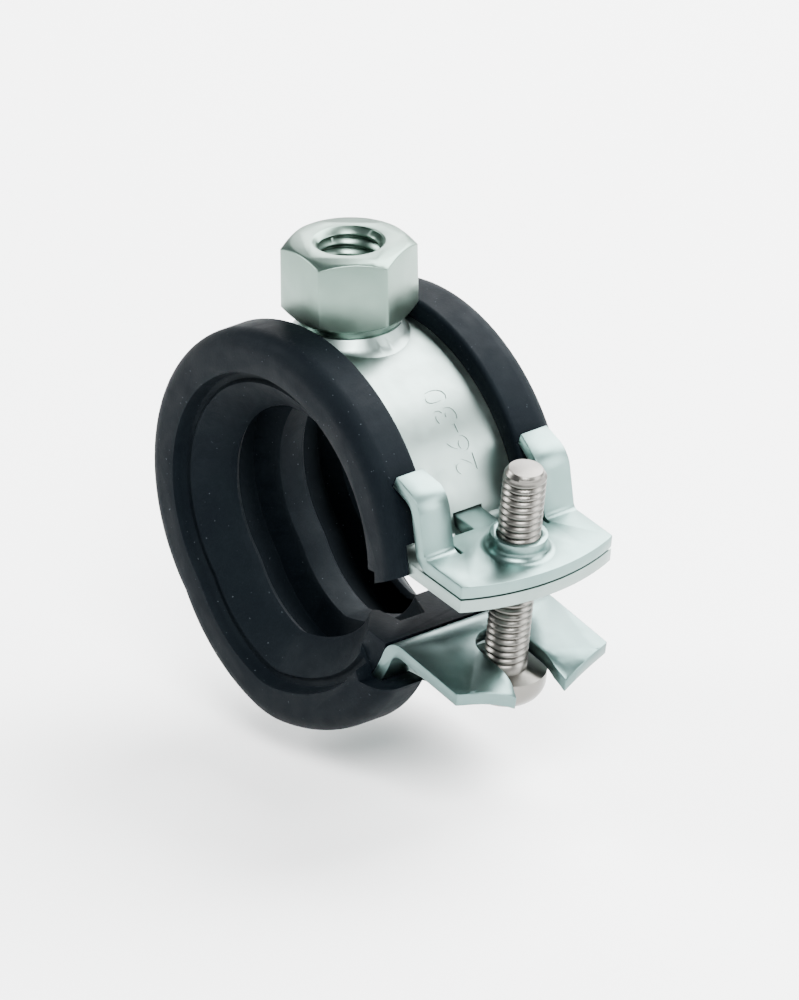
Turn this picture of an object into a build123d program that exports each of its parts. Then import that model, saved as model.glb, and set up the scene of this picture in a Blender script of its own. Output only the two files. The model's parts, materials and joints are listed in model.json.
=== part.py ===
from build123d import *
import os
from math import asin, atan2, cos, degrees, hypot, pi, radians, sin, sqrt, tan

os.makedirs("parts", exist_ok=True)

# Rubber-lined pipe clamp with a hinged lower half and one closing screw.
# Frame: +Y runs along the pipe, +Z points up to the connection nut, +X to the closing screw.
# The origin is the centre of the pipe seat in the upper half.
# Rest pose: the lower half hangs open above the screw's head. All sizes are in millimetres.

# Sheet metal of the two half bands and the lock plate
sheet = 1.5
band_bore_r = 17.6
band_width = 21.0
bend_inner_r = 1.5

# Rubber liner, as depths from the band's bore and places along the pipe
liner_depth = 5.8
groove_depth = 3.1
face_land = 0.7
face_step = 1.7
face_groove = 1.5
lip_wall = 2.0
lip_cover = 2.4
lip_reach = 3.8
lip_round = 2.2
lip_inner_round = 0.6
bead_setback = 4.5
bead_half = 1.8
rib_half = 2.0
rib_foot = 2.8
rib_crown = 0.4
rubber_play = 0.05

# Closing flange of the upper half and the lock plate that lies on it, placed from the screw
screw_reach = 8.06
closure_tilt = 9.17
plate_top_z = 2.81
plate_front = 3.49
plate_bulge = 2.11
plate_gap = 0.2
flange_hole_r = 3.2
rear_setback = 5.3
rear_side_gap = 0.8
tongue_half = 1.8
tongue_engage = 0.7
tongue_play = 0.2

# Ears of the lock plate
ear_setback = 2.86
ear_width = 4.2
ear_tip_width = 3.1
ear_height = 6.6
ear_lean = 0.9
ear_foot_r = 0.8
ear_bend_r = 1.8
ear_tip_angle = 29.5
ear_tip_lift = 0.5
ear_pocket = 0.15

# Closing screw, nominal M5
screw_r = 2.4
screw_play = 0.05
screw_above_plate = 10.0
screw_length = 25.0
screw_tip_r = 1.9
screw_tip_chamfer = 0.8
head_r = 4.65
head_height = 3.7
head_side = 1.2
head_gap = 0.702
recess_width = 1.1
recess_length = 5.0
recess_depth = 2.0
collar_wall = 0.75
collar_height = 1.9
collar_fillet = 1.0

# Connection nut, M8 thread in a hexagon of 13 mm, on a round pad pressed up from the band
nut_x = -1.25
nut_turn = -5.0
nut_flats = 13.0
nut_height = 8.25
nut_neck = 1.05
nut_neck_r = 5.4
nut_bore_r = 3.35
nut_mouth_r = 4.0
nut_chamfer_r = 6.25
nut_chamfer_angle = 30.0
pad_rise = 1.0
pad_top_r = 5.7
pad_foot_r = 8.15
pad_height = 3.5
pad_side_gap = 0.1

# Hinge at the back, opposite the screw
hinge_angle = 221.4
hinge_flange_width = 13.0
hinge_slot_width = 9.6
hinge_slot_rise = 0.8
hinge_bar = 1.5
hinge_bend_r = 1.2
hook_side_play = 0.3
hook_play = 0.5
hook_rise = 2.1
hook_slot_length = 4.2
hook_pocket_depth = 1.3
band_end_gap = 0.4
liner_end_gap = 0.15

# Arcs of the lower half in the closed clamp: its closing side is drawn in towards the pipe
draw_in = 1.69
draw_in_start = -96.0
draw_in_middle = -73.0
draw_in_end = -46.0

# Lower closing flange with its open slot and rolled-down lips
lower_top_z = -1.61
lower_slope = 1.6
lower_front = 0.85
lower_bulge = 2.1
slot_half = 3.05
slot_end_setback = 7.3
mouth_flare = 0.8
mouth_length = 1.8
droop_start = 1.5
droop_depth = 2.9
droop_power = 2.0
crease_start_y = 3.9
crease_margin = 0.2

# Trimmed ends of the liner, as corners of the cut: out from the band's bore, and height
spare_angle = 10.0
upper_web_end_z = 0.3
upper_end_inner = (0.4, -1.0)
upper_end_outer = (4.1, 0.67)
lower_web_end_z = -2.6
lower_wall_cut = ((-6.0, -2.6), (-2.5, -6.3), (-1.5, -7.6), (1.7, -6.9))

# Worked out from the sizes above
band_outer_r = band_bore_r + sheet
pipe_seat_r = band_bore_r - liner_depth
closing_bore_r = band_bore_r - draw_in
closing_outer_r = band_outer_r - draw_in
liner_width = band_width + 2 * lip_wall
half_band = band_width / 2
half_liner = liner_width / 2
half_lip_gap = half_band - lip_reach
lip_outer_r = band_outer_r + lip_cover
bend_outer_r = bend_inner_r + sheet
pad_top = band_outer_r + pad_rise
screw_x = band_outer_r + screw_reach
tilt_cos = cos(radians(closure_tilt))
tilt_sin = sin(radians(closure_tilt))
flange_top = -sheet - plate_gap
hook_width = hinge_slot_width - 2 * hook_side_play
bar_inner_r = band_outer_r + hinge_slot_rise
pivot_r = bar_inner_r + hinge_bar / 2
pivot = (pivot_r * cos(radians(hinge_angle)), pivot_r * sin(radians(hinge_angle)))
hinge_axis = Axis((pivot[0], 0, pivot[1]), (0, 1, 0))
lower_end_x = screw_x + lower_front
far = 10 * band_outer_r


def block(x0, x1, y0, y1, z0, z1):
    """A block between two corners."""
    return Pos((x0 + x1) / 2, (y0 + y1) / 2, (z0 + z1) / 2) * Box(x1 - x0, y1 - y0, z1 - z0)


def across(profile, width, y=0.0):
    """Thicken a profile drawn in X and Z to a width along Y, centred on y."""
    return Pos(0, y, 0) * extrude(Plane.XZ * profile, amount=width / 2, both=True)


def polygon(*points):
    """A flat face with straight sides."""
    return make_face(Polyline(*points, close=True))


def polar(angle, r):
    """A point in X and Z, its angle in degrees counted from +X towards +Z."""
    return (r * cos(radians(angle)), r * sin(radians(angle)))


def ring():
    """The upper band's section across the pipe."""
    return Circle(band_outer_r) - Circle(band_bore_r)


def quarter(side_x, side_z):
    """One quarter of the section across the pipe, such as (1, -1) for right and down."""
    return polygon((0, 0), (side_x * far, 0), (side_x * far, side_z * far), (0, side_z * far))


def round_corners(profile, picks):
    """Round the corners of a profile that lie nearest to the picked points."""
    for point, radius in picks:
        corner = min(profile.vertices(), key=lambda v: (Vector(v.X, v.Y) - Vector(*point)).length)
        profile = fillet(corner, radius)
    return profile


def hinge_point(t, r):
    """A point in X and Z: t along the band towards the lower half, r from the pipe's axis."""
    angle = radians(hinge_angle)
    return (r * cos(angle) - t * sin(angle), r * sin(angle) + t * cos(angle))


def hinge_rect(t0, t1, r0, r1):
    """A rectangle at the hinge, between two places along the band and two radii."""
    return polygon(hinge_point(t0, r0), hinge_point(t1, r0), hinge_point(t1, r1), hinge_point(t0, r1))


def closure_point(reach, height):
    """A point in X and Z: reach outwards from the screw in the plate's plane, height above its top."""
    x = screw_x + reach * tilt_cos + height * tilt_sin
    z = plate_top_z - reach * tilt_sin + height * tilt_cos
    return (x, z)


def closure_strip(reach0, reach1, height0, height1):
    """A rectangle in X and Z that lies along the plate's plane."""
    return polygon(
        closure_point(reach0, height0),
        closure_point(reach1, height0),
        closure_point(reach1, height1),
        closure_point(reach0, height1),
    )


closure_plane = Plane(
    (screw_x, 0, plate_top_z), x_dir=(tilt_cos, 0, -tilt_sin), z_dir=(tilt_sin, 0, tilt_cos)
)


def flange_outline(rear, corner, bulge):
    """Outline of a closing flange: square sides and an outer edge that bulges as one arc."""
    sides = Polyline((corner, -half_band), (rear, -half_band), (rear, half_band), (corner, half_band))
    end = ThreePointArc((corner, half_band), (corner + bulge, 0), (corner, -half_band))
    return make_face(Curve() + [sides, end])


def lower_flange_z(x):
    """Height of the lower flange's top in the closed clamp, away from its rolled lips."""
    return lower_top_z - (x - band_outer_r) * tan(radians(lower_slope))


def open_angle():
    """Swing of the lower half that brings its flange down to the head of the screw."""
    seat = closure_point(0, screw_above_plate - screw_length + head_gap)
    reach = hypot(seat[0] - pivot[0], seat[1] - pivot[1])
    slope = radians(lower_slope)
    under = (screw_x - pivot[0], lower_flange_z(screw_x) - sheet - pivot[1])
    rise = under[0] * sin(slope) + under[1] * cos(slope)
    closed = asin(rise / reach) - slope
    return degrees(closed - atan2(seat[1] - pivot[1], seat[0] - pivot[0]))


hinge_open = open_angle()


def open_pose(shape):
    """Swing a piece of the lower half from the closed clamp to the open rest pose."""
    return shape.rotate(hinge_axis, hinge_open)


def liner_section():
    """The liner's section as (radius, along the pipe): ribs inside, two lips that hold the band."""
    slot_y = half_band + rubber_play
    slot_in = band_bore_r - rubber_play
    slot_out = band_outer_r + rubber_play
    floor_r = pipe_seat_r + groove_depth
    face_r = band_bore_r - face_land
    groove_r = face_r - face_groove
    step_y = half_liner - face_step
    bead_y = half_liner - bead_setback
    half_side = [
        (pipe_seat_r, 0),
        (pipe_seat_r, rib_half - rib_crown),
        (pipe_seat_r + rib_crown, rib_half),
        (floor_r, rib_foot),
        (floor_r, bead_y - bead_half),
        (pipe_seat_r + rib_crown, bead_y - bead_half + rib_foot - rib_half),
        (pipe_seat_r, bead_y - rib_crown),
        (pipe_seat_r + rib_crown, bead_y + rib_crown),
        (groove_r, step_y + rib_crown),
        (groove_r + rib_crown, step_y),
        (face_r - rib_crown, step_y),
        (face_r, half_liner),
        (lip_outer_r, half_liner),
        (lip_outer_r, half_lip_gap),
        (slot_out, half_lip_gap),
        (slot_out, slot_y),
        (slot_in, slot_y),
        (slot_in, 0),
    ]
    other_side = [(r, -y) for r, y in reversed(half_side[1:-1])]
    section = polygon(*half_side, *other_side)
    picks = []
    for side in (-1, 1):
        picks.append(((lip_outer_r, side * half_liner), lip_round))
        picks.append(((lip_outer_r, side * half_lip_gap), lip_inner_round))
    return round_corners(section, picks)


def around(section, start, end):
    """Turn a section about the pipe's axis from one angle to another, counted from +X towards +Z."""
    return revolve(section, Axis.Y, end - start).rotate(Axis.Y, -end)


def lower_arcs():
    """Tangent arcs of the lower half: centre in X and Z, change of radius, first and last angle."""
    turn_in = radians(draw_in_middle - draw_in_start)
    turn_back = radians(draw_in_end - draw_in_middle)
    both = turn_in + turn_back
    scale = draw_in / (sin(turn_in) + sin(turn_back) - sin(both))
    tighter = scale * sin(turn_back)
    wider = scale * sin(both)
    first = Vector(*polar(draw_in_start, tighter))
    second = first - Vector(*polar(draw_in_middle, wider))
    return [
        (Vector(0, 0), 0, hinge_angle - 360 - spare_angle, draw_in_start),
        (first, -tighter, draw_in_start, draw_in_middle),
        (second, wider - tighter, draw_in_middle, draw_in_end),
        (Vector(0, 0), -draw_in, draw_in_end, spare_angle),
    ]


def lower_ring():
    """The lower band's section across the pipe, arc by arc."""
    parts = []
    for centre, change, start, end in lower_arcs():
        wedge = polygon((0, 0), polar(start, far), polar(end, far))
        arc = (Circle(band_outer_r + change) - Circle(band_bore_r + change)) & wedge
        parts.append(Pos(centre.X, centre.Y) * arc)
    return parts[0] + parts[1:]


def make_upper_band():
    """Upper half strip: nut pad, closing flange with hole and window, and slotted hinge flange."""
    front = plate_front + plate_bulge
    inner = -screw_x / tilt_cos
    flange = closure_strip(inner, front, flange_top, flange_top - sheet) - Circle(band_bore_r)
    below = closure_strip(inner, far, flange_top - sheet, -far)
    past_hinge = hinge_rect(hinge_bar / 2, far, 0, far) & quarter(-1, -1)
    profile = (ring() - below - past_hinge - quarter(1, -1)) + flange
    inner_z = closure_point(band_bore_r - screw_x, flange_top - sheet)[1]
    outer_z = closure_point(band_outer_r - screw_x, flange_top)[1]
    profile = round_corners(
        profile,
        [
            ((band_bore_r, inner_z), bend_outer_r),
            ((band_outer_r, outer_z), bend_inner_r),
            (hinge_point(hinge_bar / 2, band_bore_r), hinge_bend_r),
        ],
    )
    body = across(profile, band_width)
    bar = hinge_bar / 2
    body = body + across(
        hinge_rect(-bar, bar, band_outer_r - sheet / 4, bar_inner_r + hinge_bar), hinge_flange_width
    )
    body = body - across(hinge_rect(-hook_slot_length, far, 0, bar_inner_r) & quarter(-1, -1), hinge_slot_width)
    outline = flange_outline(-far, plate_front, plate_bulge)
    body = body & extrude(closure_plane * outline, amount=far, both=True)
    hole = extrude(closure_plane * Circle(flange_hole_r), amount=2 * (flange_top - sheet))
    window_start = band_bore_r - sheet - screw_x
    window_end = band_outer_r + bend_inner_r - screw_x
    window = closure_strip(window_start, window_end, tongue_play, flange_top + tongue_play / 2)
    body = body - hole - across(window, 2 * (tongue_half + tongue_play))
    return (body + nut_pad(0)) - nut_pad(sheet)


def nut_pad(depth):
    """The raised pad under the nut, between the liner's lips, lowered by a depth for its underside."""
    middle = pad_top - depth - pad_height / 2
    cone = Pos(nut_x, 0, middle) * Cone(pad_foot_r - depth, pad_top_r - depth, pad_height)
    wide = half_lip_gap - pad_side_gap - depth
    return (cone & block(-far, far, -wide, wide, 0, far)) - across(Circle(band_bore_r - depth), far)


def make_lower_band_closed():
    """Lower half strip in the closed clamp: flange with open slot and drooped lips, hook behind."""
    droop_x = screw_x - droop_start
    top_in = lower_flange_z(0)
    top_out = lower_flange_z(droop_x)
    start = hinge_bar / 2 + band_end_gap
    above = polygon((0, top_in), (far, lower_flange_z(far)), (far, far), (0, far))
    before = hinge_rect(-far, start, 0, far) & polygon((0, -far), (-far, -far), (-far, far), (0, far))
    strip = lower_ring() - above - before - quarter(-1, 1)
    flange = polygon((0, top_in), (droop_x, top_out), (droop_x, top_out - sheet), (0, top_in - sheet))
    profile = strip + (flange - Circle(closing_bore_r))
    profile = round_corners(
        profile,
        [
            ((closing_bore_r, lower_flange_z(closing_bore_r)), bend_outer_r),
            ((closing_outer_r, lower_flange_z(closing_outer_r) - sheet), bend_inner_r),
        ],
    )
    body = across(profile, band_width)
    for side in (-1, 1):
        body = body + drooped_wing(side, droop_x)
    plan = flange_outline(-far, lower_end_x, lower_bulge) - slot_outline()
    body = body & extrude(plan, amount=far, both=True)
    return body + across(hook_profile(start), hook_width)


def slot_outline():
    """The open slot in plan: a round end, a straight run and a flared mouth."""
    mouth = slot_half + mouth_flare
    end_x = lower_end_x + lower_bulge
    start_x = screw_x - slot_end_setback + slot_half
    run = polygon(
        (start_x, -slot_half),
        (end_x - mouth_length, -slot_half),
        (end_x + sheet, -mouth),
        (end_x + sheet, mouth),
        (end_x - mouth_length, slot_half),
        (start_x, slot_half),
    )
    return run + Pos(start_x, 0) * Circle(slot_half)


def drooped_wing(side, droop_x):
    """One side of the slotted flange: flat at the outside, rolled down towards the slot's mouth."""
    slot_y = slot_half / 2
    end_x = lower_end_x + lower_bulge
    sections = []
    steps = 5
    for step in range(steps + 1):
        share = step / steps
        x = droop_x + share * (end_x - droop_x)
        crease = crease_start_y + sin(share * pi / 2) * (half_band - crease_margin - crease_start_y)
        drop = droop_depth * share**droop_power
        rims = []
        for base in (lower_flange_z(x), lower_flange_z(x) - sheet):
            slot_side = Vector(x, side * slot_y, base - drop)
            pull = Vector(x, side * (slot_y + crease) / 2, base)
            flat_start = Vector(x, side * crease, base)
            flat_end = Vector(x, side * half_band, base)
            rims.append((slot_side, pull, flat_start, flat_end))
        upper, lower = rims
        edges = [
            Bezier(*upper[:3]),
            Line(upper[2], upper[3]),
            Line(upper[3], lower[3]),
            Line(lower[3], lower[2]),
            Bezier(lower[2], lower[1], lower[0]),
            Line(lower[0], upper[0]),
        ]
        sections.append(make_face(Curve() + edges))
    return loft(sections)


def hook_profile(start):
    """Tongue of the lower half that passes under the hinge bar and turns up behind it."""
    back = hinge_bar / 2 + hook_play
    tongue = ring() & hinge_rect(-back - sheet, start + sheet, 0, far) & quarter(-1, -1)
    upright = hinge_rect(-back - sheet, -back, band_bore_r + sheet / 2, band_outer_r + hook_rise)
    return tongue + upright


def make_connection_nut():
    """Hexagon nut with a short round neck that stands on the band's pad."""
    corner_r = nut_flats / sqrt(3)
    bottom = pad_top + nut_neck
    top = bottom + nut_height
    rise = (corner_r - nut_chamfer_r) * tan(radians(nut_chamfer_angle))
    turned = polygon(
        (0, bottom),
        (nut_chamfer_r, bottom),
        (corner_r, bottom + rise),
        (corner_r, top - rise),
        (nut_chamfer_r, top),
        (0, top),
    )
    hexagon = Pos(0, 0, bottom) * extrude(RegularPolygon(corner_r, 6), amount=nut_height)
    body = hexagon & revolve(Plane.XZ * turned, Axis.Z)
    body = body + Pos(0, 0, (bottom + pad_top) / 2) * Cylinder(nut_neck_r, nut_neck)
    body = body - Pos(0, 0, top / 2) * Cylinder(nut_bore_r, top)
    sink = nut_mouth_r - nut_bore_r
    body = body - Pos(0, 0, top - sink / 2) * Cone(nut_bore_r, nut_mouth_r, sink)
    body = body - Pos(0, 0, pad_top + sink / 2) * Cone(nut_mouth_r, nut_bore_r, sink)
    return Pos(nut_x, 0, 0) * Rot(0, 0, nut_turn) * body


def make_lock_plate():
    """Pressed plate with a drawn and tapped collar, two ears, and a tongue in the band's window."""
    outline = flange_outline(ear_foot_r - ear_setback, plate_front, plate_bulge)
    tongue_end = band_bore_r - tongue_engage - screw_x
    rear_half = half_lip_gap - rear_side_gap
    overlap = sheet
    for rear, half in ((-rear_setback, rear_half), (tongue_end, tongue_half)):
        outline = outline + Pos((rear - ear_setback + overlap) / 2, 0) * Rectangle(
            overlap - ear_setback - rear, 2 * half
        )
    body = extrude(closure_plane * outline, amount=-sheet)
    for side in (-1, 1):
        body = body + ear(side)
    collar_r = screw_r + screw_play + collar_wall
    foot = collar_r + collar_fillet
    section = Curve() + [
        Polyline((0, -sheet / 2), (foot, -sheet / 2), (foot, 0)),
        RadiusArc((foot, 0), (collar_r, collar_fillet), collar_fillet),
        Polyline((collar_r, collar_fillet), (collar_r, collar_height), (0, collar_height), (0, -sheet / 2)),
    ]
    body = body + closure_plane * revolve(Plane.XZ * make_face(section), Axis.Z)
    return body - closure_plane * Cylinder(screw_r + screw_play, 6 * collar_height)


def ear_path(extra=0.0):
    """Middle line of an ear: along the plate, up from its rear corner, back over the lip."""
    mid = -sheet / 2
    front = closure_point(ear_foot_r - ear_setback, mid)
    foot = closure_point(mid - ear_setback, mid)
    top = (foot[0] - ear_lean, foot[1] + ear_height)
    tip = Vector(*polar(ear_tip_angle, lip_outer_r + ear_tip_lift))
    tip = tip + (tip - Vector(*top)).normalized() * extra
    return FilletPolyline(
        front, foot, top, tip, radius=[ear_foot_r + sheet / 2, ear_bend_r + sheet / 2]
    )


def ear(side):
    """One ear, which narrows towards its tip."""
    foot_y = half_band - ear_width
    tip_y = half_band - ear_tip_width
    blade = across(trace(ear_path(), sheet), ear_width, side * (foot_y + half_band) / 2)
    start = closure_point(-ear_setback, 0)[0] - ear_lean - sheet
    tip = start - 2 * ear_bend_r - sheet
    taper = [(tip, 0), (tip, tip_y), (start, foot_y), (start, 0)]
    cutter = extrude(polygon(*[(x, side * y) for x, y in taper]), amount=far, both=True)
    return blade - cutter


def make_screw():
    """Machine screw with a rounded pan head below and a cross recess, pointing up."""
    under_head = screw_above_plate - screw_length
    bottom = under_head - head_height
    shoulder = under_head - head_side
    crown = head_height - head_side
    profile = Curve() + [
        Polyline((0, bottom), (head_r - crown, bottom)),
        TangentArc((head_r - crown, bottom), (head_r, shoulder), tangent=(1, 0)),
        Polyline(
            (head_r, shoulder),
            (head_r, under_head),
            (screw_r, under_head),
            (screw_r, screw_above_plate - screw_tip_chamfer),
            (screw_tip_r, screw_above_plate),
            (0, screw_above_plate),
            (0, bottom),
        ),
    ]
    body = revolve(Plane.XZ * make_face(profile), Axis.Z)
    for turn in (0, 90):
        slot = Box(recess_length, recess_width, 2 * recess_depth)
        body = body - Pos(0, 0, bottom) * Rot(0, 0, turn) * slot
    return closure_plane * body


def make_liner_upper(section):
    """Liner in the upper half, from beside the closing flange round to the hinge."""
    body = around(section, -spare_angle, hinge_angle + spare_angle)
    ix, iz = band_bore_r + upper_end_inner[0], upper_end_inner[1]
    slope = (upper_end_outer[1] - iz) / (upper_end_outer[0] - upper_end_inner[0])
    trim = polygon(
        (0, upper_web_end_z),
        (ix, upper_web_end_z),
        (ix, iz),
        (far, iz + slope * (far - ix)),
        (far, -far),
        (0, -far),
    )
    past_hinge = hinge_rect(-liner_end_gap, far, 0, far) & quarter(-1, -1)
    pocket = hinge_rect(-hook_slot_length, far, band_bore_r - hook_pocket_depth, far) & quarter(-1, -1)
    body = body - across(trim + past_hinge, 2 * liner_width) - across(pocket, hinge_slot_width)
    under = flange_top - sheet - rubber_play
    flange_room = closure_strip(-screw_reach - 2 * sheet, far, tongue_play, under) - Circle(band_bore_r)
    body = body - across(flange_room, band_width + 2 * rubber_play)
    tongue_start = -screw_reach - 2 * sheet - 2 * tongue_engage
    tongue_room = closure_strip(tongue_start, 0, tongue_play, -sheet - tongue_play)
    body = body - across(tongue_room, 2 * (tongue_half + tongue_play))
    dent = trace(ear_path(ear_pocket), sheet + 2 * ear_pocket)
    for side in (-1, 1):
        body = body - across(dent, ear_width + 2 * ear_pocket, side * (half_band - ear_width / 2))
    return body


def make_liner_lower_closed(section):
    """Liner in the lower half of the closed clamp, from the hinge to the lower flange."""
    parts = []
    for centre, change, start, end in lower_arcs():
        parts.append(Pos(centre.X, 0, centre.Y) * around(Pos(change, 0) * section, start, end))
    body = parts[0] + parts[1:]
    before = hinge_rect(-far, liner_end_gap, 0, far) & polygon((0, -far), (-far, -far), (-far, far), (0, far))
    body = body - across(before, 2 * liner_width)
    body = body - block(-far, far, -far, far, lower_web_end_z, far)
    cut = [(closing_bore_r + out, z) for out, z in lower_wall_cut]
    before_last, last = cut[-2:]
    slope = (last[1] - before_last[1]) / (last[0] - before_last[0])
    end = (far, last[1] + slope * (far - last[0]))
    trim = polygon(*cut, end, (far, far), (cut[0][0], far))
    wall = half_band - rubber_play
    for side in (-1, 1):
        body = body - across(trim, half_liner, side * (wall + half_liner / 2))
    return body - across(trim - Circle(closing_outer_r), liner_width)


section = liner_section()

nodes = {
    "upper_band": make_upper_band(),
    "lower_band": open_pose(make_lower_band_closed()),
    "connection_nut": make_connection_nut(),
    "lock_plate": make_lock_plate(),
    "closing_screw": make_screw(),
    "liner_upper": make_liner_upper(section),
    "liner_lower": open_pose(make_liner_lower_closed(section)),
}

for name, shape in nodes.items():
    export_step(shape, f"parts/{name}.step")

print("hinge pivot at", [round(value, 3) for value in pivot], "open by", round(hinge_open, 3))
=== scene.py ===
import bmesh
import bpy
import cmath
import json
import math
from mathutils import Matrix, Vector


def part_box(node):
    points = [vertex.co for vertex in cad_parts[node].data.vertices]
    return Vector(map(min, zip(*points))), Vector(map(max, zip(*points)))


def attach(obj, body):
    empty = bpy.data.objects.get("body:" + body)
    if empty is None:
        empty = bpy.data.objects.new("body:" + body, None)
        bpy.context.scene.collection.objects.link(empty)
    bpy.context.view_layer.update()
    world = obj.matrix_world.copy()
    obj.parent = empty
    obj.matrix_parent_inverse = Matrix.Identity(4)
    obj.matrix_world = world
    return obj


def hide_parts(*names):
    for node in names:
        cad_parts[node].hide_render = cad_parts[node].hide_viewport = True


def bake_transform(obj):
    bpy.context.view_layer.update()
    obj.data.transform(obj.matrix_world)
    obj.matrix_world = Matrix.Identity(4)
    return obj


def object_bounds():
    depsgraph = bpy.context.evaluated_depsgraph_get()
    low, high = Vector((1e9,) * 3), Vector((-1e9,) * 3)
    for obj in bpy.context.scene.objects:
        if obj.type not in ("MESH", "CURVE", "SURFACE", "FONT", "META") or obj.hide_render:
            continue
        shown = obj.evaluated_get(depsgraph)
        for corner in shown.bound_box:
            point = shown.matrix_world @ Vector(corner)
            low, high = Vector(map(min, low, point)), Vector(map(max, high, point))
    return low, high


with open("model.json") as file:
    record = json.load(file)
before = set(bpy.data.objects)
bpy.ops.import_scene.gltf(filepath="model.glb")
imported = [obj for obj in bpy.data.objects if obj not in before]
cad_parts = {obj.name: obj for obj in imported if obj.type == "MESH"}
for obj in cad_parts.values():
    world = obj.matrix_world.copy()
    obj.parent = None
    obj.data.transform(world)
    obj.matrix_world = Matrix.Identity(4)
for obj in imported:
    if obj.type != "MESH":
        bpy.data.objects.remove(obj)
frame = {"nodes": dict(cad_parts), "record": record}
cad_low, cad_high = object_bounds()

# Upper half band
# One steel strip, 1.5 mm thick, pressed round, with the closing flange, its screw hole and the
# slotted hinge flange bent from the same strip. Sheared edges, then bright zinc plating.
sheared_edge = 0.0002
sharp_bend = math.radians(32)
flat_enough = math.radians(0.5)
same_corner = 0.000001


def merged_copy(node):
    """A bmesh of a node's own form, its loose triangles merged into larger faces."""
    shape = bmesh.new()
    shape.from_mesh(frame["nodes"][node].data)
    bmesh.ops.remove_doubles(shape, verts=shape.verts, dist=same_corner)
    bmesh.ops.dissolve_limit(shape, angle_limit=flat_enough, verts=shape.verts, edges=shape.edges)
    return shape


def is_sharp(edge):
    """Whether two faces meet at a crease, as along a sheared edge."""
    return edge.calc_face_angle(0) > sharp_bend


def ease_edges(shape, width, picked=is_sharp):
    """Round the edges of a shape that are picked, as a rule its sharp ones."""
    bmesh.ops.bevel(
        shape, geom=[e for e in shape.edges if e.is_manifold and picked(e)], offset=width,
        offset_type="OFFSET", segments=2, profile=0.5, affect="EDGES", clamp_overlap=True,
        material=-1,
    )


def finished(shape, name):
    """Turn a bmesh into a smooth-shaded object that keeps its creases sharp."""
    mesh = bpy.data.meshes.new(name)
    shape.to_mesh(mesh)
    shape.free()
    piece = bpy.data.objects.new(name, mesh)
    bpy.context.scene.collection.objects.link(piece)
    mesh.shade_smooth()
    mesh.set_sharp_from_angle(angle=sharp_bend)
    return piece


def cut_away(piece, cutter):
    """Cut a shape out of a piece and drop the cutter."""
    modifier = piece.modifiers.new("cut", "BOOLEAN")
    modifier.operation = "DIFFERENCE"
    modifier.solver = "EXACT"
    modifier.object = cutter
    seen = piece.evaluated_get(bpy.context.evaluated_depsgraph_get())
    mesh = bpy.data.meshes.new_from_object(seen)
    piece.modifiers.clear()
    piece.data = mesh
    bpy.data.objects.remove(cutter)
    mesh.name = piece.name
    mesh.shade_smooth()
    mesh.set_sharp_from_angle(angle=sharp_bend)


def node_tree(name):
    """A new material with its node tree, its surface shader and Object coordinates."""
    material = bpy.data.materials.new(name)
    material.use_nodes = True
    nodes = material.node_tree.nodes
    shader = nodes["Principled BSDF"]
    place = nodes.new("ShaderNodeTexCoord")
    return material, nodes, material.node_tree.links, shader, place.outputs["Object"]


def stretched(nodes, links, place, scale):
    """Object coordinates scaled along each axis, in patterns per metre."""
    mapping = nodes.new("ShaderNodeMapping")
    mapping.inputs["Scale"].default_value = scale
    links.new(place, mapping.inputs["Vector"])
    return mapping.outputs["Vector"]


def noise(nodes, links, place, scale, detail=3.0, roughness=0.5, distortion=0.0):
    """A noise pattern on scaled Object coordinates."""
    texture = nodes.new("ShaderNodeTexNoise")
    texture.inputs["Scale"].default_value = 1.0
    texture.inputs["Detail"].default_value = detail
    texture.inputs["Roughness"].default_value = roughness
    texture.inputs["Distortion"].default_value = distortion
    links.new(stretched(nodes, links, place, scale), texture.inputs["Vector"])
    return texture.outputs["Fac"]


noise_low = 0.3
noise_high = 0.7


def ramp(nodes, links, source, stops):
    """A colour ramp from (position, colour) stops."""
    node = nodes.new("ShaderNodeValToRGB")
    elements = node.color_ramp.elements
    for element, (position, colour) in zip(elements, stops):
        element.position = position
        element.color = (*colour, 1.0)
    links.new(source, node.inputs["Fac"])
    return node.outputs["Color"]


def spread(nodes, links, source, low, high):
    """A noise pattern's values mapped to a range."""
    node = nodes.new("ShaderNodeMapRange")
    node.inputs["From Min"].default_value = noise_low
    node.inputs["From Max"].default_value = noise_high
    node.inputs["To Min"].default_value = low
    node.inputs["To Max"].default_value = high
    links.new(source, node.inputs["Value"])
    return node.outputs["Result"]


def bump(nodes, links, source, strength, depth, before=None):
    """A bump from a pattern, on top of another bump if one is given."""
    node = nodes.new("ShaderNodeBump")
    node.inputs["Strength"].default_value = strength
    node.inputs["Distance"].default_value = depth
    links.new(source, node.inputs["Height"])
    if before is not None:
        links.new(before, node.inputs["Normal"])
    return node.outputs["Normal"]


cloud_scale = (160, 160, 160)
wiped_scale = (420, 420, 420)
grain_scale = (2400, 2400, 2400)
rolling_scale = (120, 1500, 120)
grain_depth = 0.00002
rolling_depth = 0.00003


def zinc_plating(name, pale, deep, smoothest, roughest):
    """Bright zinc with clouded tint, fine grain and faint rolling lines along the strip."""
    material, nodes, links, shader, place = node_tree(name)
    clouds = noise(nodes, links, place, cloud_scale, distortion=0.6)
    tint = ramp(nodes, links, clouds, [(noise_low, deep), (noise_high, pale)])
    links.new(tint, shader.inputs["Base Color"])
    wiped = noise(nodes, links, place, wiped_scale, detail=2.0)
    links.new(spread(nodes, links, wiped, smoothest, roughest), shader.inputs["Roughness"])
    grain = noise(nodes, links, place, grain_scale, detail=1.0)
    lines = noise(nodes, links, place, rolling_scale, detail=2.0)
    fine = bump(nodes, links, grain, 0.02, grain_depth)
    links.new(bump(nodes, links, lines, 0.1, rolling_depth, fine), shader.inputs["Normal"])
    shader.inputs["Metallic"].default_value = 1.0
    return material


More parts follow.
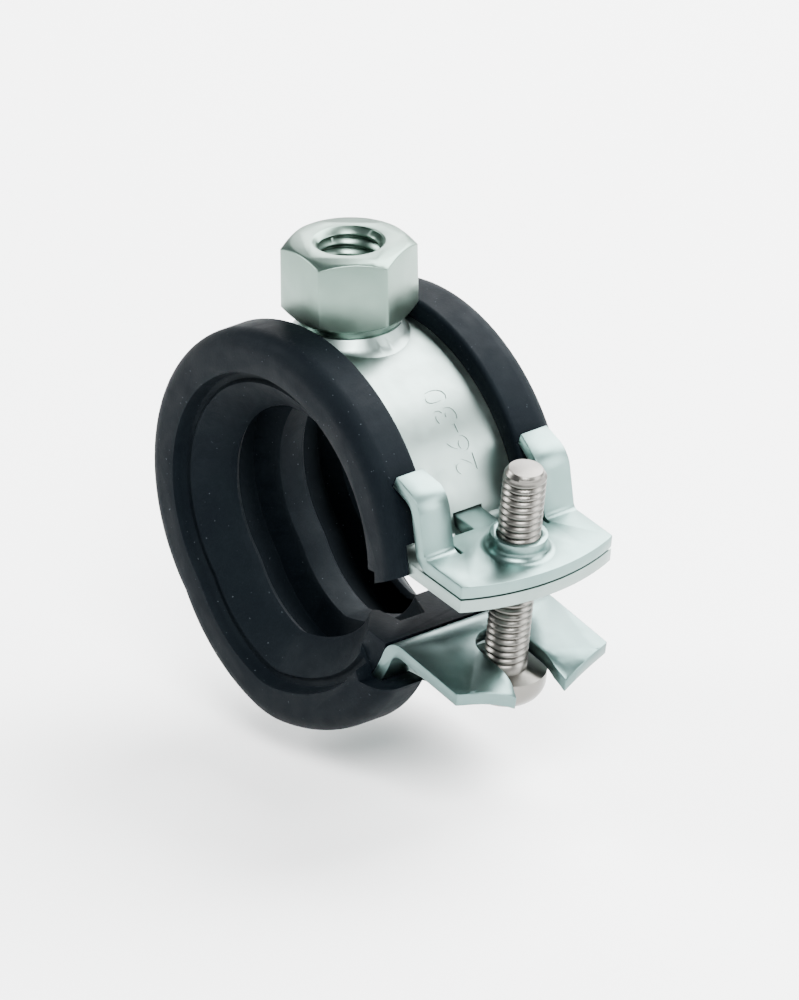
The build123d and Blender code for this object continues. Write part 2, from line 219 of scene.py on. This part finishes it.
band_zinc = zinc_plating(
    "band_zinc", pale=(0.205, 0.26, 0.245), deep=(0.17, 0.222, 0.208), smoothest=0.3, roughest=0.4
)


def dressed(piece, material, body, node):
    """Give a piece its material and slot, put it on its body and in its node's place."""
    piece.data.materials.clear()
    piece.data.materials.append(material)
    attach(piece, body)
    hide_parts(node)


def pressed_from(node, name, edge=sheared_edge):
    """A piece with a metal node's own form, its cut edges eased."""
    shape = merged_copy(node)
    ease_edges(shape, edge)
    return finished(shape, name)


band_outer_r = 0.0191
pad_foot_r = 0.00815
pad_middle = -0.00125
pad_slope = math.radians(55)
same_slope = 0.05
nearly_flat = math.radians(8)
on_surface = 0.0002


def shade_round(piece):
    """Shade the band's outside and its pad by their true forms, and soften the pad's foot."""
    mesh = piece.data
    normals = [corner.vector.copy() for corner in mesh.corner_normals]
    upright = Vector((0, 0, math.cos(pad_slope)))
    for face in mesh.polygons:
        slopes_as_pad = abs(face.normal.z - upright.z) < same_slope
        for corner in face.loop_indices:
            place = mesh.vertices[mesh.loops[corner].vertex_index].co
            out = Vector((place.x, 0, place.z))
            from_pad = Vector((place.x - pad_middle, place.y, 0))
            on_band = abs(out.length - band_outer_r) < on_surface
            above_band = out.length > band_outer_r - on_surface
            within_pad = from_pad.length < pad_foot_r + on_surface
            if on_band and face.normal.angle(out, math.pi) < nearly_flat:
                normals[corner] = out.normalized()
            elif slopes_as_pad and within_pad and above_band:
                cone = from_pad.normalized() * math.sin(pad_slope) + upright
                normals[corner] = (cone + out.normalized()).normalized() if on_band else cone
    mesh.normals_split_custom_set(normals)


stamp_text = "26-30"
stamp_size = 0.0044
stamp_depth = 0.00009
stamp_rise = 0.0003
stamp_start = math.radians(24)
stamp_line = 0.0025
stamp_same_corner = 0.0000001


def stamping():
    """A cutter for the stamped numbers, which read along the band, bent round its outside."""
    words = bpy.data.curves.new("stamp", "FONT")
    words.body = stamp_text
    words.size = stamp_size
    words.extrude = (stamp_depth + stamp_rise) / 2
    words.resolution_u = 3
    holder = bpy.data.objects.new("stamp", words)
    bpy.context.scene.collection.objects.link(holder)
    flat = bpy.data.meshes.new_from_object(holder)
    shape = bmesh.new()
    shape.from_mesh(flat)
    bpy.data.objects.remove(holder)
    bmesh.ops.remove_doubles(shape, verts=shape.verts, dist=stamp_same_corner)
    bmesh.ops.recalc_face_normals(shape, faces=shape.faces)
    for vertex in shape.verts:
        along, up, out = vertex.co
        turn = stamp_start + along / band_outer_r
        reach = band_outer_r + out + (stamp_rise - stamp_depth) / 2
        vertex.co = (reach * math.cos(turn), stamp_line - up, reach * math.sin(turn))
    return finished(shape, "stamp")


upper_strip = pressed_from("upper_band", "upper_strip")
cut_away(upper_strip, stamping())
shade_round(upper_strip)
dressed(upper_strip, band_zinc, "upper_half", "upper_band")

# Lower half band
# The same strip, pressed as the lower half: a hook at the back that hangs in the upper band's slot,
# and the closing flange with its open slot, whose two lips are rolled down beside the screw's head.
# Painted shade: the lower half is the same strip and plating as the upper band, but its zinc tint is a
# darker copy to paint in the shade that falls on it.
band_zinc_painted_shade = zinc_plating(
    "band_zinc_painted_shade", pale=(0.105, 0.162, 0.155), deep=(0.082, 0.132, 0.127), smoothest=0.28, roughest=0.38
)
lower_strip = pressed_from("lower_band", "lower_strip")
dressed(lower_strip, band_zinc_painted_shade, "lower_half", "lower_band")

# Lock plate
# A pressed and plated plate on the upper flange. Its collar is drawn up and tapped for the screw,
# its two ears bend back over the liner's lips, and its tongue holds in the band's window.
plate_zinc = zinc_plating(
    "plate_zinc", pale=(0.155, 0.235, 0.222), deep=(0.125, 0.198, 0.186), smoothest=0.3, roughest=0.4
)
plate_edge = 0.0003
lock_plate = pressed_from("lock_plate", "pressed_lock_plate", plate_edge)
dressed(lock_plate, plate_zinc, "upper_half", "lock_plate")

# Connection nut
# A hexagon nut for an M8 rod, with a short round neck that is welded to the band's raised pad.
# Cold formed steel, bright zinc plating, with the thread cut inside its countersunk mouth.
nut_zinc = zinc_plating(
    "nut_zinc", pale=(0.155, 0.218, 0.186), deep=(0.128, 0.186, 0.158), smoothest=0.3, roughest=0.38
)
nut_edge = 0.00008
nut_thread_pitch = 0.00125
nut_thread_root_r = 0.00402
nut_thread_open_r = 0.00322
nut_thread_width = 0.00112
nut_thread_steps = 48


def thread_coil(name, wide_r, tip_r, width, pitch, steps, low, high):
    """A cutter for a thread: a triangular section wound along Z, its wide side at wide_r."""
    shape = bmesh.new()
    turns = math.ceil((high - low) / pitch) + 2
    foot = low - pitch
    section = [
        shape.verts.new((wide_r, 0, foot - width / 2)),
        shape.verts.new((tip_r, 0, foot)),
        shape.verts.new((wide_r, 0, foot + width / 2)),
    ]
    edges = [shape.edges.new((a, b)) for a, b in zip(section, section[1:] + section[:1])]
    wound = bmesh.ops.spin(
        shape, geom=section + edges, cent=(0, 0, 0), axis=(0, 0, 1), dvec=(0, 0, pitch / steps),
        angle=2 * math.pi * turns, steps=steps * turns, use_merge=False, use_duplicate=False,
    )
    shape.faces.new(section)
    shape.faces.new([v for v in wound["geom_last"] if isinstance(v, bmesh.types.BMVert)])
    bmesh.ops.recalc_face_normals(shape, faces=shape.faces)
    return finished(shape, name)


nut_low, nut_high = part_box("connection_nut")
nut_middle = (Vector(nut_low) + Vector(nut_high)) / 2
nut = pressed_from("connection_nut", "hexagon_nut", nut_edge)
tap = thread_coil(
    "tap", nut_thread_open_r, nut_thread_root_r, nut_thread_width, nut_thread_pitch,
    nut_thread_steps, nut_low[2], nut_high[2],
)
tap.data.transform(Matrix.Translation((nut_middle.x, nut_middle.y, 0)))
cut_away(nut, tap)
dressed(nut, nut_zinc, "upper_half", "connection_nut")

# Closing screw
# An M5 machine screw with a rounded pan head below and a cross recess, rolled thread and
# chamfered end, zinc plated. It turns in the lock plate's collar.
screw_zinc = zinc_plating(
    "screw_zinc", pale=(0.155, 0.148, 0.135), deep=(0.12, 0.118, 0.108), smoothest=0.3, roughest=0.4
)
screw_edge = 0.00008
screw_thread_pitch = 0.0008
screw_thread_root_r = 0.00198
screw_thread_open_r = 0.00252
screw_thread_width = 0.00076
screw_thread_steps = 32
screw_head_height = 0.0037
screw_run_out = 0.0006
on_tip = 0.00001
joints = {joint["name"]: joint for joint in frame["record"]["behaviour"]["joints"]}
screw_axis = Vector(joints["screw_feed"]["axis"]).normalized()
screw = pressed_from("closing_screw", "pan_head_screw", screw_edge)
reaches = [v.co.dot(screw_axis) for v in screw.data.vertices]
screw_end = min(reaches)
screw_tip = max(reaches)
tip_ring = [v.co for v, reach in zip(screw.data.vertices, reaches) if reach > screw_tip - on_tip]
tip_centre = sum(tip_ring, Vector()) / len(tip_ring)
die = thread_coil(
    "die", screw_thread_open_r, screw_thread_root_r, screw_thread_width, screw_thread_pitch,
    screw_thread_steps, screw_head_height + screw_run_out + screw_thread_pitch, screw_tip - screw_end,
)
end_centre = tip_centre - screw_axis * (screw_tip - screw_end)
screw_turn = screw_axis.to_track_quat("Z", "Y").to_matrix().to_4x4()
die.data.transform(Matrix.Translation(end_centre) @ screw_turn)
cut_away(screw, die)
dressed(screw, screw_zinc, "screw", "closing_screw")

# Rubber liner
# One moulded strip of matt black rubber that lines both half bands, its runs joined by a curved piece
# at the hinge. Its two lips clasp the bands' edges, and ribs inside press on the pipe.
rubber_deep = (0.001, 0.0018, 0.003)
rubber_pale = (0.0018, 0.003, 0.0042)
dust_colour = (0.035, 0.042, 0.048, 1.0)
dust_start = 0.75
dust_full = 0.83
bare = (0, 0, 0)
dusty = (1, 1, 1)
skin_depth = 0.00005
rubber, nodes, links, shader, place = node_tree("liner_rubber")
blush = noise(nodes, links, place, (240, 240, 240), detail=4.0, roughness=0.65)
black = ramp(nodes, links, blush, [(noise_low, rubber_deep), (noise_high, rubber_pale)])
motes = noise(nodes, links, place, (2600, 2600, 2600), detail=1.0)
dust = nodes.new("ShaderNodeMix")
dust.data_type = "RGBA"
dust.inputs["B"].default_value = dust_colour
dusted = ramp(nodes, links, motes, [(dust_start, bare), (dust_full, dusty)])
links.new(dusted, dust.inputs["Factor"])
links.new(black, dust.inputs["A"])
links.new(dust.outputs["Result"], shader.inputs["Base Color"])
wiped = noise(nodes, links, place, (500, 500, 500))
links.new(spread(nodes, links, wiped, 0.6, 0.7), shader.inputs["Roughness"])
skin = noise(nodes, links, place, (3400, 3400, 3400), roughness=0.6)
links.new(bump(nodes, links, skin, 0.35, skin_depth), shader.inputs["Normal"])
shader.inputs["Specular IOR Level"].default_value = 0.06
shader.inputs["Specular Tint"].default_value = (0.72, 0.9, 1.0, 1.0)

hinge = joints["closing_hinge"]
pivot = complex(hinge["pos_m"][0], hinge["pos_m"][2])
opening = math.radians(hinge["range_deg"][1])
end_gap = 0.00015
on_plane = 0.000002
hinge_steps = 8
hinge_way = 1j * pivot / abs(pivot)
lower_way = hinge_way * cmath.exp(-1j * opening)


def beyond(vertex, way, gap):
    """How far a vertex lies past the hinge plane, along the strip and less a gap."""
    from_pivot = complex(vertex.co.x, vertex.co.z) - pivot
    return (from_pivot * way.conjugate()).real - gap


def on_end(part, way, gap):
    """Whether a face or an edge lies in the end plane across a way along the strip."""
    return all(abs(beyond(vertex, way, gap)) < on_plane for vertex in part.verts)


def away_from_hinge(edge):
    """Whether an edge is sharp and lies in neither of the two end planes at the hinge."""
    at_hinge = on_end(edge, hinge_way, -end_gap) or on_end(edge, lower_way, end_gap)
    return is_sharp(edge) and not at_hinge


# The lower run's end is spun back about a fixed point until it meets the upper run's end
liner_shape = merged_copy("liner_upper")
lower_shape = merged_copy("liner_lower")
cap = [f for f in lower_shape.faces if on_end(f, lower_way, end_gap)]
rim = [e for e in lower_shape.edges if sum(f in cap for f in e.link_faces) == 1]
rim_corners = [v for v in lower_shape.verts if any(e in rim for e in v.link_edges)]
bmesh.ops.delete(lower_shape, geom=cap, context="FACES_ONLY")
centre = pivot - 2 * end_gap * hinge_way / (1 - cmath.exp(1j * opening))
bmesh.ops.spin(
    lower_shape, geom=rim + rim_corners, cent=(centre.real, 0, centre.imag), axis=(0, -1, 0),
    angle=opening, steps=hinge_steps, use_merge=False, use_duplicate=False,
)
bmesh.ops.holes_fill(lower_shape, edges=[e for e in lower_shape.edges if e.is_boundary], sides=0)
bmesh.ops.recalc_face_normals(lower_shape, faces=lower_shape.faces)
lower_mesh = bpy.data.meshes.new("lower_run")
lower_shape.to_mesh(lower_mesh)
lower_shape.free()
liner_shape.from_mesh(lower_mesh)
bpy.data.meshes.remove(lower_mesh)
ease_edges(liner_shape, sheared_edge, away_from_hinge)
liner = finished(liner_shape, "liner_strip")
liner.data.materials.append(rubber)
split = complex(-0.0124, -0.0109)
split_way = complex(0.2554, -0.967)
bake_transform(liner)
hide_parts("liner_upper", "liner_lower")

# Floor, light and camera
# A plain pale floor well below the clamp, soft studio lights, and a long lens from the
# photograph's side.
floor_size = 8.0
floor_drop = 0.004
floor_deep = (0.96, 0.96, 0.96)
floor_pale = (0.98, 0.98, 0.98)
bpy.ops.mesh.primitive_plane_add(size=floor_size, location=(0, 0, cad_low.z - floor_drop))
floor = bpy.context.object
floor.name = "floor"
paper, nodes, links, shader, place = node_tree("pale_paper")
fibres = noise(nodes, links, place, (3.0, 3.0, 3.0))
paper_tint = ramp(nodes, links, fibres, [(noise_low, floor_deep), (noise_high, floor_pale)])
links.new(paper_tint, shader.inputs["Base Color"])
shader.inputs["Roughness"].default_value = 0.8
floor.data.materials.append(paper)

horizon_low = 0.04
horizon_high = 0.1
horizon_glow = 3.0
studio_glow = 0.5
horizon_colour = (0.9, 0.92, 0.92)
studio_colour = (0.07, 0.15, 0.16)
world = bpy.data.worlds.new("studio")
bpy.context.scene.world = world
world.use_nodes = True
nodes = world.node_tree.nodes
links = world.node_tree.links
studio = nodes["Background"]
heading = nodes.new("ShaderNodeTexCoord")
height = nodes.new("ShaderNodeSeparateXYZ")
links.new(heading.outputs["Generated"], height.inputs["Vector"])
glow = nodes.new("ShaderNodeMapRange")
glow.inputs["From Min"].default_value = horizon_low
glow.inputs["From Max"].default_value = horizon_high
glow.inputs["To Min"].default_value = horizon_glow
glow.inputs["To Max"].default_value = studio_glow
links.new(height.outputs["Z"], glow.inputs["Value"])
links.new(glow.outputs["Result"], studio.inputs["Strength"])
wall_stops = [(horizon_low, horizon_colour), (horizon_high, studio_colour)]
links.new(ramp(nodes, links, height.outputs["Z"], wall_stops), studio.inputs["Color"])


def softbox(name, place, size, power):
    """A square area light at a place, turned to the middle of the pipe seat."""
    light = bpy.data.lights.new(name, "AREA")
    light.size = size
    light.energy = power
    lamp = bpy.data.objects.new(name, light)
    bpy.context.scene.collection.objects.link(lamp)
    lamp.location = place
    lamp.rotation_euler = (-Vector(place)).to_track_quat("-Z", "Y").to_euler()


softbox("back_light", (-0.05, 0.5, 0.5), size=0.6, power=28.0)
softbox("left_light", (-0.6, 0.5, 0.38), size=0.35, power=5.0)
softbox("right_light", (0.6, 0.45, 0.26), size=0.45, power=9.0)
softbox("key_light", (0.5, -0.3, 0.6), size=0.35, power=17.0)
softbox("fill_light", (-0.6, -0.45, 0.45), size=0.3, power=10.0)

camera_azimuth = 0.8934
camera_elevation = 0.42854
camera_roll = -0.01274
lens_mm = 1000.0
sensor_mm = 36.0
photo_height = 1000
photo_width = 799
photo_scale = 9196.0
seat_pixel = (359.4, 491.0)
view_reach = 100.0
back = Vector((
    math.sin(camera_azimuth) * math.cos(camera_elevation),
    -math.cos(camera_azimuth) * math.cos(camera_elevation),
    math.sin(camera_elevation),
))
distance = lens_mm / sensor_mm * photo_height / photo_scale
turn = (-back).to_track_quat("-Z", "Y").to_matrix() @ Matrix.Rotation(camera_roll, 3, "Z")
right, up = turn.col[0], turn.col[1]
shift_right = (photo_width / 2 - seat_pixel[0]) / photo_scale
shift_up = (seat_pixel[1] - photo_height / 2) / photo_scale
camera_data = bpy.data.cameras.new("camera")
camera_data.lens = lens_mm
camera_data.sensor_width = sensor_mm
camera_data.clip_end = view_reach
camera = bpy.data.objects.new("camera", camera_data)
bpy.context.scene.collection.objects.link(camera)
camera.location = back * distance + right * shift_right + up * shift_up
camera.rotation_mode = "QUATERNION"
camera.rotation_quaternion = turn.to_quaternion()
bpy.context.scene.camera = camera
